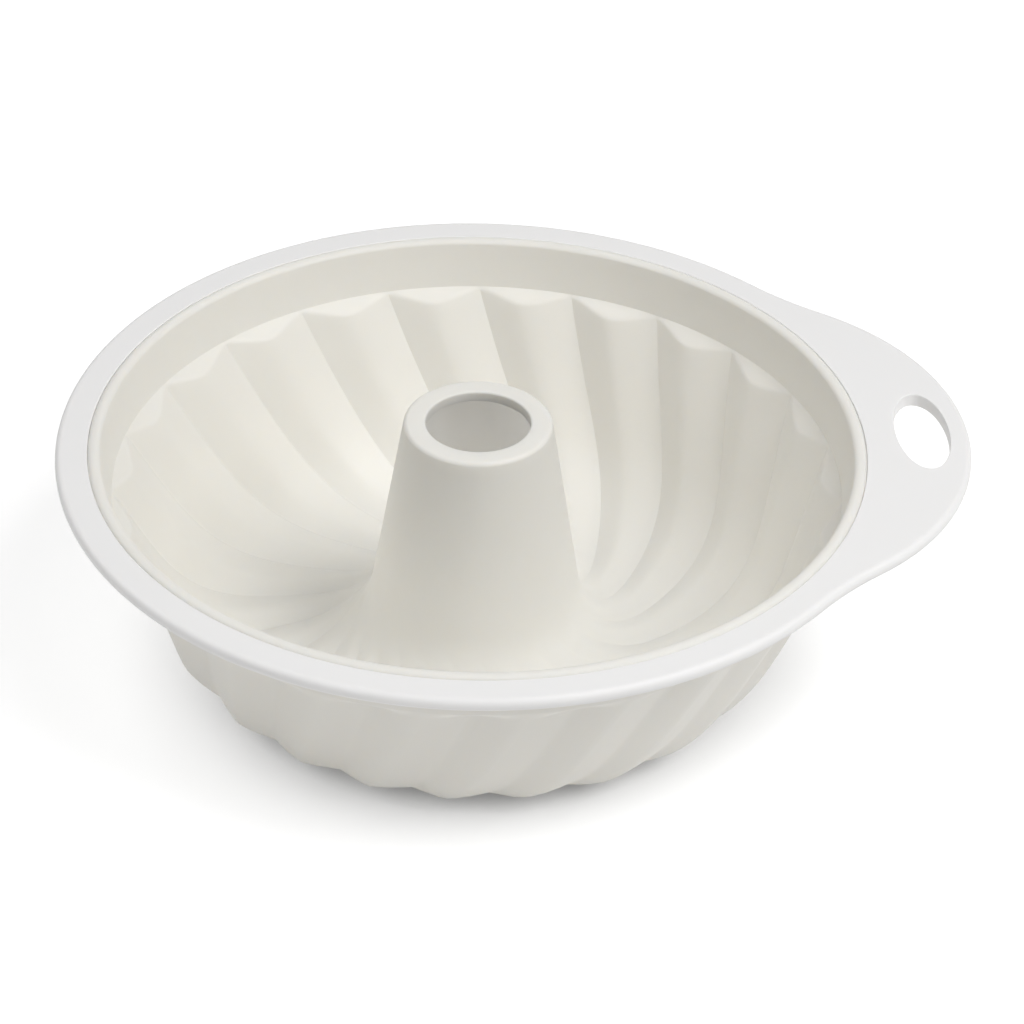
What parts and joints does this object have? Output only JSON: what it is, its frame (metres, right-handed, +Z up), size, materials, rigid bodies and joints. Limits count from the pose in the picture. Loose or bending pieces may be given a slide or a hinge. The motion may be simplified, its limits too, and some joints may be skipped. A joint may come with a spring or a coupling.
{
  "type": "fluted tube pan",
  "caption": "Round silicone ring-cake mould with swirled flutes, an open centre tube and a flat rim with a slotted hanging handle.",
  "frame": {"origin": "middle of the footprint, on the surface that the pan stands on", "axes": "+Z up out of the pan's mouth, +X from the pan towards the end of the handle"},
  "size_m": [0.2722, 0.25, 0.0819],
  "materials": {
    "ivory_silicone": "satin",
    "white_silicone": "satin",
    "steel_frame": "brushed"
  },
  "bodies": {
    "root": {"mould_body": "ivory_silicone", "rim_and_handle": "white_silicone", "rim_frame": "steel_frame"}
  },
  "joints": []
}
